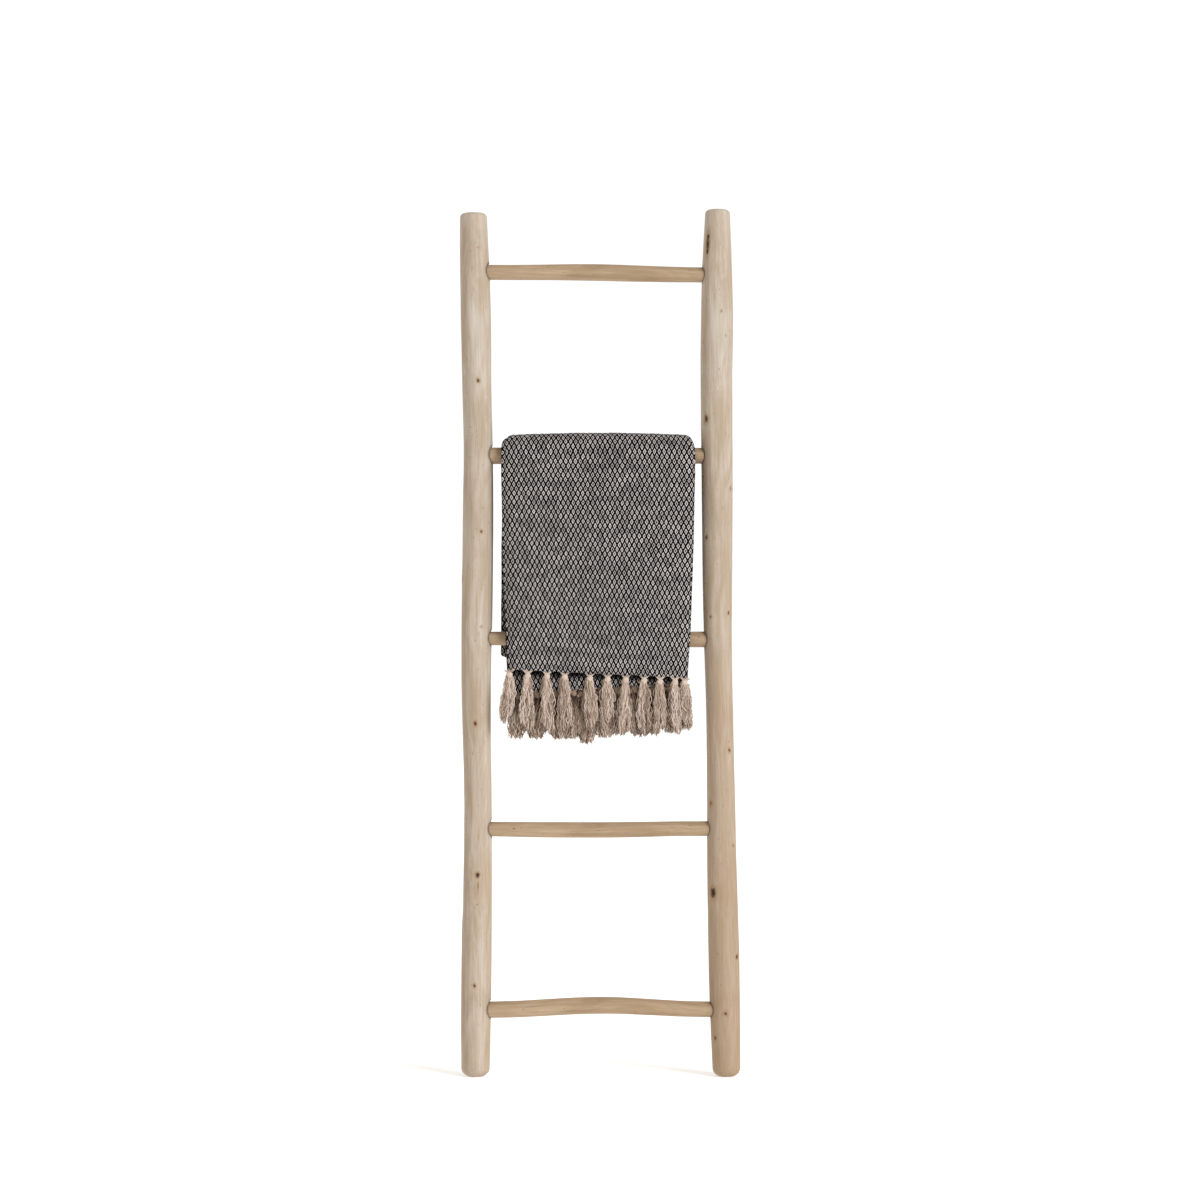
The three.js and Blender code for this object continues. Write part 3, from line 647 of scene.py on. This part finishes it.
def diamond_weave():
    """Thick cotton in a diamond twill, 8.3 mm by 15.9 mm a repeat: a near-black line round each diamond, a
    pale rim inside it, a grey middle and a small dark dot in many. The yarn is uneven, so bands and single
    diamonds differ in brightness, and each diamond stands half a millimetre proud. The cloth is matt and
    fuzzy. Where the inner drop comes out from under the outer hem it is painted dark, as painted shade."""
    material = bpy.data.materials.new("woven_cotton_diamonds")
    material.use_nodes = True
    tree = material.node_tree
    shader = tree.nodes["Principled BSDF"]
    place = add(tree, "UVMap", uv_map="cloth").outputs[0]
    uneven = add(tree, "TexNoise", {"Vector": place, "Scale": 1 / (14 * mm), "Detail": 1.0}).outputs[1]
    shift = add(tree, "VectorMath", {0: uneven, 1: (0.5, 0.5, 0.5)}, operation="SUBTRACT").outputs[0]
    pulled = add(tree, "VectorMath", {0: shift, 1: (3.0 * mm, 3.0 * mm, 0), 2: place},
                 operation="MULTIPLY_ADD").outputs[0]
    across, up = 1 / (8.3 * mm), 1 / (15.9 * mm)
    distances, cells = [], []
    for direction in ((across, up, 0), (across, -up, 0)):
        line = add(tree, "VectorMath", {0: pulled, 1: direction}, operation="DOT_PRODUCT").outputs[1]
        cells.append(add(tree, "Math", {0: line}, operation="FLOOR").outputs[0])
        part = add(tree, "Math", {0: line}, operation="FRACT").outputs[0]
        centred = add(tree, "Math", {0: part, 1: 0.5}, operation="SUBTRACT").outputs[0]
        distances.append(add(tree, "Math", {0: centred}, operation="ABSOLUTE").outputs[0])
    reach = add(tree, "Math", {0: distances[0], 1: distances[1]}, operation="MAXIMUM").outputs[0]
    colours = add(tree, "ValToRGB", {0: reach}, [
        (0.10, linear(0x645D5B)), (0.19, linear(0x756E6B)), (0.23, linear(0xDED7D4)),
        (0.29, linear(0xC9C1BE)), (0.325, linear(0x151112)), (0.5, linear(0x040203))]).outputs[0]
    cell = add(tree, "CombineXYZ", {0: cells[0], 1: cells[1]}).outputs[0]
    chance = add(tree, "TexWhiteNoise", {0: cell}, noise_dimensions="3D").outputs[0]
    dot = add(tree, "MapRange", {0: reach, 1: 0.10, 2: 0.16, 3: 0.1, 4: 1.0}).outputs[0]
    plain = add(tree, "Math", {0: chance, 1: 0.45}, operation="GREATER_THAN").outputs[0]
    dotted = add(tree, "Math", {0: dot, 1: plain}, operation="MAXIMUM").outputs[0]
    single = add(tree, "MapRange", {0: chance, 3: 0.74, 4: 1.14}).outputs[0]
    band_place = add(tree, "VectorMath", {0: place, 1: (9, 75, 0)}, operation="MULTIPLY").outputs[0]
    bands = add(tree, "TexNoise", {"Vector": band_place, "Scale": 1.0, "Detail": 2.0}).outputs[0]
    banded = add(tree, "MapRange", {0: bands, 1: 0.3, 2: 0.7, 3: 0.78, 4: 1.16}).outputs[0]
    both = add(tree, "Math", {0: single, 1: banded}, operation="MULTIPLY").outputs[0]
    threads = add(tree, "TexNoise", {"Vector": place, "Scale": 1 / (0.9 * mm), "Detail": 2.0}).outputs[0]
    fuzz = add(tree, "MapRange", {0: threads, 1: 0.25, 2: 0.75, 3: 0.8, 4: 1.15}).outputs[0]
    fuzzy = add(tree, "Math", {0: both, 1: fuzz}, operation="MULTIPLY").outputs[0]
    evenly_lit = add(tree, "Math", {0: fuzzy, 1: dotted}, operation="MULTIPLY").outputs[0]
    # Painted shade: the shade attribute darkens the inner drop to near black just under the outer hem.
    shade = add(tree, "Attribute", attribute_name="shade").outputs["Fac"]
    light = add(tree, "MapRange", {0: shade, 3: 1.0, 4: 0.06}).outputs[0]
    level = add(tree, "Math", {0: evenly_lit, 1: light}, operation="MULTIPLY").outputs[0]
    tone = add(tree, "VectorMath", {0: colours, 3: level}, operation="SCALE").outputs[0]
    hill = add(tree, "ValToRGB", {0: reach}, [
        (0.0, (0.85,) * 3 + (1,)), (0.3, (1, 1, 1, 1)), (0.5, (0, 0, 0, 1))]).outputs[0]
    relief = add(tree, "Math", {0: threads, 1: 0.35, 2: hill}, operation="MULTIPLY_ADD").outputs[0]
    bump = add(tree, "Bump", {"Height": relief, "Strength": 0.9, "Distance": 0.7 * mm}).outputs[0]
    tree.links.new(tone, shader.inputs["Base Color"])
    tree.links.new(bump, shader.inputs["Normal"])
    shader.inputs["Roughness"].default_value = 0.95
    shader.inputs["Specular IOR Level"].default_value = 0.05
    return material


grid, number = folded_cloth()
length_places, width_places = along(grid, 0), along(grid, 1)
grid = soften(grid, number)
throw = piece("throw_folded_cloth", grid.reshape(-1, 3), sheet_faces(*grid.shape[:2]))
places = np.stack(np.meshgrid(width_places, length_places), axis=-1).reshape(-1, 2)
map_cloth(throw, "cloth", places)
# Painted shade for the inner drop: dark just under the outer hem, on the layers that face the outer drop.
x, _, z = np.moveaxis(grid[-inner_rows:], -1, 0)
painted_shade_under_hem = np.zeros(grid.shape[:2])
against_outer_drop = np.clip(number - 1.5, 0, 1)
below_hem = outer_hem(x)[0] - z
painted_shade_under_hem[-inner_rows:] = against_outer_drop * np.clip(1.3 - below_hem / (7 * mm), 0, 1)
stamp(throw, "shade", painted_shade_under_hem.ravel())
body = throw.modifiers.new("thickness", "SOLIDIFY")
body.thickness, body.offset = cloth_thickness, 0
throw.data.materials.append(diamond_weave())
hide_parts("throw")
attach(throw, "throw")

# ---------------------------------------------------------------- tassels
# The warp ends of the cloth, left undyed, knotted in bunches under each hem and left hanging in loose
# two-ply yarns. Each bunch holds the tassels of the stacked panels: a knot in front, others behind it.

yarn_radius, yarn_steps, yarn_sides = 0.7 * mm, 38, 4
knot_width, knot_height, knot_flatness = 11.5 * mm, 11 * mm, 0.66
hem_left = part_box(front_tassels[0])[0].x + 8 * mm
hem_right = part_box(front_tassels[-1])[1].x - 8 * mm


def yarns(paths, radius):
    """Yarns along many paths at once: at each point a small ring across the path, thinner at the tip."""
    count, steps = paths.shape[:2]
    sides = yarn_sides
    ahead = np.gradient(paths, axis=1)
    ahead /= np.linalg.norm(ahead, axis=-1, keepdims=True)
    right = np.cross(ahead, (0, 1, 0))
    right /= np.linalg.norm(right, axis=-1, keepdims=True)
    front = np.cross(ahead, right)
    angle = np.linspace(0, 2 * np.pi, sides, endpoint=False)[:, None]
    circle = np.cos(angle) * right[:, :, None] + np.sin(angle) * front[:, :, None]
    taper = np.interp(np.arange(steps), [0, steps - 3, steps - 1], [1, 1, 0.35])
    rings = paths[:, :, None] + radius * taper[:, None, None] * circle
    faces = []
    each = tube_faces(steps, sides)
    points = np.concatenate([rings.reshape(count, -1, 3), rings[:, [0, -1]].mean(axis=2)], axis=1)
    for k in range(count):
        offset = k * (steps * sides + 2)
        faces += [[corner + offset for corner in face] for face in each]
    return points.reshape(-1, 3), faces


def knot(centre, width, height, turns, seed):
    """A hand-tied knot: a squashed ball, flatter from front to back, whose surface rises in slanting
    ridges, the yarns wound round it."""
    rows, columns = 22, 28
    rise = np.linspace(0.02, 0.98, rows)[:, None]
    angle = np.linspace(0, 2 * np.pi, columns, endpoint=False)
    radius = width / 2 * np.sin(np.pi * rise) ** 0.55 * (0.86 + 0.14 * rise)
    ridges = 1 + 0.09 * np.cos(2 * np.pi * turns * rise + 2 * angle + seed)
    ridges = ridges + 0.05 * np.cos(5 * angle - 9 * rise + 2 * seed)
    reach = radius * ridges
    ring = np.stack(np.broadcast_arrays(np.cos(angle) * reach, knot_flatness * np.sin(angle) * reach,
                                        (rise - 0.5) * height), axis=-1)
    return tube(ring + centre)


def bunch(name, hem, lean, groups, seed):
    """One bunch of tassels: strands gathered from the hem into a knot, and a skirt of yarns that leaves
    the knot narrow, spreads over most of its length, waves and crimps, and ends in a slanting point. Every
    yarn is a straight fall plus sideways, forward and upward sine waves of its own phase and pace."""
    low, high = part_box(name)
    rng = np.random.default_rng(seed)
    middle_x, middle_y = (low.x + high.x) / 2, (low.y + high.y) / 2
    half_width, half_depth = 1.22 * (high.x - low.x) / 2, (high.y - low.y) / 2
    deepest = half_depth - yarn_radius
    share = np.linspace(0, 1, yarn_steps)
    parts, tints = [], []

    def keep(part, tint):
        """Adds a part's points and faces to the bunch, and the tint of its points."""
        points, faces = part
        offset = sum(len(p) for p, _ in parts)
        parts.append((points, [[corner + offset for corner in face] for face in faces]))
        tints.append(np.broadcast_to(tint, len(points)))

    pinch, point, skew = rng.uniform(-0.25, 0.25), rng.uniform(0.05, 0.24), rng.uniform(-0.7, 0.7)
    for dx, dy, dz, yarn_count, tone, full, shade in groups:
        x0 = np.clip(middle_x + dx, hem_left, hem_right)
        y0, top = middle_y + dy * half_depth, high.z + dz
        knot_centre = np.array([x0, y0, top - knot_height / 2])
        # The knot is painted darker by half the group's shade, as painted shade.
        keep(knot(knot_centre, knot_width, knot_height, 1.6, seed * 1.7 + dx), tone + 0.06 - shade * 0.5)
        turn = rng.uniform(0, 2 * np.pi, (yarn_count, 1))
        out = np.sqrt(rng.uniform(0.05, 1, (yarn_count, 1)))
        narrow = max(full, rng.uniform(0.30, 0.44))
        opened = np.clip(share / rng.uniform(0.62, 1.0), 0, 1) ** 0.95
        spread = (narrow + (rng.uniform(0.9, 1.12) - narrow) * opened) * (1 - pinch * share ** 6)
        phase = rng.uniform(0, 2 * np.pi, (6, yarn_count, 1))
        wave = rng.uniform(0.6, 1.4, (6, yarn_count, 1))
        loose = np.where(rng.uniform(size=(yarn_count, 1)) > 0.85, 2.4, 1.0)
        sway = 2.2 * mm * loose * np.sin(wave[0] * 8 * share + phase[0]) * np.sin(np.pi * share ** 0.7)
        crimp = 1.2 * mm * share ** 0.3 * np.sin(wave[1] * 30 * share + phase[1])
        x = x0 + out * np.cos(turn) * half_width * spread + sway + crimp + lean * share ** 1.4
        deep = out * np.sin(turn) * 0.72 * np.minimum(spread, 0.9)
        deep = deep + 0.2 * np.sqrt(share) * np.sin(wave[2] * 24 * share + phase[2])
        y = middle_y + np.clip(y0 - middle_y + half_depth * 0.72 * deep, -deepest, deepest)
        origin = top + (2.5 * mm if full else -0.55 * knot_height)
        tip = origin - low.z - (0 if full else abs(dz))
        off_point = np.minimum(np.abs(out * np.cos(turn) - skew), 1.1)
        ends = 1 - 0.07 * rng.uniform(size=(yarn_count, 1)) ** 2 - point * off_point ** 1.3
        z = origin - tip * ends * share - 1.0 * mm * np.sin(wave[3] * 26 * share + phase[3])
        paths = np.stack(np.broadcast_arrays(x, y, z), axis=-1)
        # Painted shade: yarns nearer the middle of a bunch are darker, and so is the top, by the group's
        # shade; a slow wave makes each yarn darker and lighter along its length.
        depth = 0.45 * (1 - out) + shade * np.maximum(1 - 2.0 * share, 0)
        depth = depth + 0.10 * np.sin(wave[4] * 9 * share + phase[4])
        tints_each = tone + rng.uniform(-0.38, 0.34, (yarn_count, 1)) - depth
        round_yarn = np.repeat(tints_each, yarn_sides, axis=1)
        tints_each = np.concatenate([round_yarn, tints_each[:, [0, -1]]], axis=1)
        keep(yarns(paths, yarn_radius), tints_each.ravel())
    gather = np.linspace(-1, 1, 15)[:, None]
    rise = np.linspace(0, 1, 8)
    start_x = middle_x + gather * 9.5 * mm
    line, arch = hem(start_x)
    x = start_x + (middle_x + gather * 2.2 * mm - start_x) * rise ** 0.8
    z = (line + arch + 1.2 * mm) * (1 - rise) + (high.z - 2.5 * mm) * rise - 0.6 * mm * np.sin(np.pi * rise)
    place = np.interp(x, (left + hem_inset_left, right - hem_inset_right), (0, 1))
    outermost = -inside - (layers - 0.5) * layer * thinness(place)
    y = np.maximum(middle_y - half_depth * 0.3 - 1.2 * mm * np.sin(np.pi * rise), outermost)
    # The hem strands are painted darker by half the first group's shade, as painted shade.
    keep(yarns(np.stack([x, y, z], axis=-1), yarn_radius * 0.9), 0.75 - groups[0][-1] * 0.5)
    points = np.concatenate([p for p, _ in parts])
    made = piece(f"{name}_yarns", points, [face for _, faces in parts for face in faces])
    stamp(made, "tint", np.clip(np.concatenate(tints), 0, 1))
    return made


def undyed_yarn():
    """Undyed two-ply cotton yarn, pinkish beige, matt and softly fuzzy. Yarns differ in tint, and those
    inside a bunch are painted darker, as painted shade; a fine slanting noise stands for the twist of the
    plies."""
    material = bpy.data.materials.new("undyed_cotton_yarn")
    material.use_nodes = True
    tree = material.node_tree
    shader = tree.nodes["Principled BSDF"]
    tint = add(tree, "Attribute", attribute_name="tint").outputs["Fac"]
    colour = add(tree, "ValToRGB", {0: tint}, [
        (0.0, linear(0x3C2517)), (0.3, linear(0x8A705B)), (0.62, linear(0xB8A292)),
        (1.0, linear(0xDCCBBE))]).outputs[0]
    place = add(tree, "TexCoord").outputs["Object"]
    slant = add(tree, "VectorMath", {0: place, 1: (1, 1, 0.45)}, operation="MULTIPLY").outputs[0]
    plies = add(tree, "TexNoise", {"Vector": slant, "Scale": 1 / (1.1 * mm), "Detail": 2.0}).outputs[0]
    level = add(tree, "MapRange", {0: plies, 1: 0.3, 2: 0.7, 3: 0.80, 4: 1.10}).outputs[0]
    tone = add(tree, "VectorMath", {0: colour, 3: level}, operation="SCALE").outputs[0]
    bump = add(tree, "Bump", {"Height": plies, "Strength": 0.6, "Distance": 0.3 * mm}).outputs[0]
    tree.links.new(tone, shader.inputs["Base Color"])
    tree.links.new(bump, shader.inputs["Normal"])
    shader.inputs["Roughness"].default_value = 0.92
    shader.inputs["Specular IOR Level"].default_value = 0.2
    shader.inputs["Sheen Weight"].default_value = 0.2
    return material


yarn = undyed_yarn()
front_leans = np.array([-6, -2, 1, -1, 5, 1, -2, 1, -1, 2, 5]) * mm
back_leans = np.array([2, -2, 2, 1, -1, 3, -2, 2, 2, -1, 1]) * mm
# The tassels of a bunch: place sideways, forwards as a share of its half depth, and upwards; yarns; tone;
# fullness at the top; and how much the top, the knot and the hem strands are painted darker, as painted
# shade between the rows.
front_groups = [(0, -0.30, 0, 72, 0.74, 0, 0), (-3 * mm, 0.28, -3.5 * mm, 48, 0.56, 0, 0.1)]
back_groups = [(0, -0.30, 0, 56, 0.68, 0, 0.75), (-8 * mm, 0.1, -1.5 * mm, 38, 0.60, 0.85, 0.60),
               (8 * mm, 0.34, -3 * mm, 38, 0.64, 0.85, 0.15)]
for names, leans, hem, fringe, groups, seed in (
        (front_tassels, front_leans, outer_hem, "front_fringe", front_groups, 100),
        (back_tassels, back_leans, inner_hem, "back_fringe", back_groups, 200)):
    for k, name in enumerate(names):
        made = bunch(name, hem, leans[k], groups, seed + k)
        made.data.materials.append(yarn)
        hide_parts(name)
        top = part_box(name)[1].z
        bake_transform(made)

# ---------------------------------------------------------------- floor, light and camera
# A plain white studio floor without a wall, an even white surround, one large soft light from the front
# right and a weak one from behind. The floor glows a little, as a lit studio floor does, so shadows on it
# stay faint.

floor_radius, floor_sides = 14.0, 64
angle = np.linspace(0, 2 * np.pi, floor_sides, endpoint=False)
disc = np.stack([np.cos(angle), np.sin(angle), 0 * angle], axis=-1)
floor = piece("floor", np.concatenate([disc * floor_radius, [[0, 0, 0]]]) + np.array([0, 0, -0.5 * mm]),
              [[k, (k + 1) % floor_sides, floor_sides] for k in range(floor_sides)], smooth=False)
paint = bpy.data.materials.new("white_floor_paint")
paint.use_nodes = True
tree = paint.node_tree
shader = tree.nodes["Principled BSDF"]
floor_place = add(tree, "TexCoord").outputs["Object"]
mottle = add(tree, "TexNoise", {"Vector": floor_place, "Scale": 3.0}).outputs[0]
floor_tone = add(tree, "ValToRGB", {0: mottle}, [(0.3, linear(0xF6F6F5)), (0.7, linear(0xF9F9F8))])
tree.links.new(floor_tone.outputs[0], shader.inputs["Base Color"])
shader.inputs["Roughness"].default_value = 0.9
shader.inputs["Specular IOR Level"].default_value = 0.1
shader.inputs["Emission Color"].default_value = linear(0xFFFFFF)
shader.inputs["Emission Strength"].default_value = 0.35
floor.data.materials.append(paint)
floor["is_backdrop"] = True


def sun_light(name, toward, strength, softness):
    """Even light over the whole floor from one direction, as from a soft box that many degrees wide."""
    lamp = bpy.data.lights.new(name, "SUN")
    lamp.energy, lamp.angle, lamp.color = strength, math.radians(softness), (0.95, 1.0, 1.06)
    made = bpy.data.objects.new(name, lamp)
    bpy.context.scene.collection.objects.link(made)
    made.rotation_euler = Vector(toward).to_track_quat("Z", "Y").to_euler()


sun_light("key_light", (0.62, -0.60, 0.50), 2.4, 24)
sun_light("back_light", (-0.45, 0.85, 0.28), 0.9, 40)

world = bpy.data.worlds.new("white_surround")
world.use_nodes = True
ray = add(world.node_tree, "LightPath").outputs["Is Camera Ray"]
soft_fill, plain_white = (0.56, 0.53, 0.48, 1), (1.05, 1.05, 1.05, 1)
surround = add(world.node_tree, "Mix", {0: ray, 6: soft_fill, 7: plain_white}, data_type="RGBA")
world.node_tree.links.new(surround.outputs[2], world.node_tree.nodes["Background"].inputs["Color"])
bpy.context.scene.world = world
bpy.context.scene.view_settings.view_transform = "Standard"

view_width, lens, sensor = 2.078, 95, 36
camera = bpy.data.cameras.new("camera")
camera.lens, camera.sensor_width = lens, sensor
camera_object = bpy.data.objects.new("camera", camera)
bpy.context.scene.collection.objects.link(camera_object)
camera_object.location = (-0.5 * mm, -view_width * lens / sensor, 0.824)
camera_object.rotation_euler = (math.pi / 2, 0, 0)
camera.clip_end = 60
bpy.context.scene.camera = camera_object

low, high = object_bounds()
